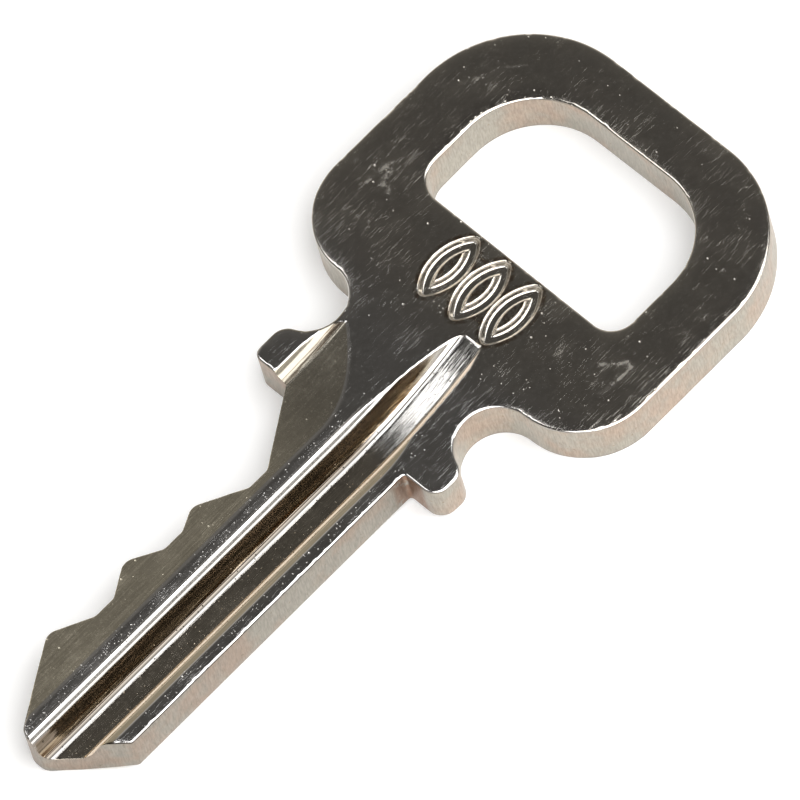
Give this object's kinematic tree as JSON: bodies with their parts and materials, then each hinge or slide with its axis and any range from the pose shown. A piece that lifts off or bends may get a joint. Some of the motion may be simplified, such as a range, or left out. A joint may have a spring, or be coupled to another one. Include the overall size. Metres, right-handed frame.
{
  "type": "flat cylinder key",
  "caption": "Small flat metal key: ring bow with a rounded opening, two stop shoulders, grooved blade with a cut edge.",
  "frame": {"origin": "under the middle of the key's box, on the plane of its back face", "axes": "+X along the key from the nose of the blade to the bow, +Y towards the cut edge of the blade, +Z out of the stamped front face"},
  "size_m": [0.032, 0.0148, 0.0019],
  "materials": {
    "plated_metal": "bright nickel plate, worn"
  },
  "bodies": {
    "root": {"key_body": "plated_metal"}
  },
  "joints": []
}
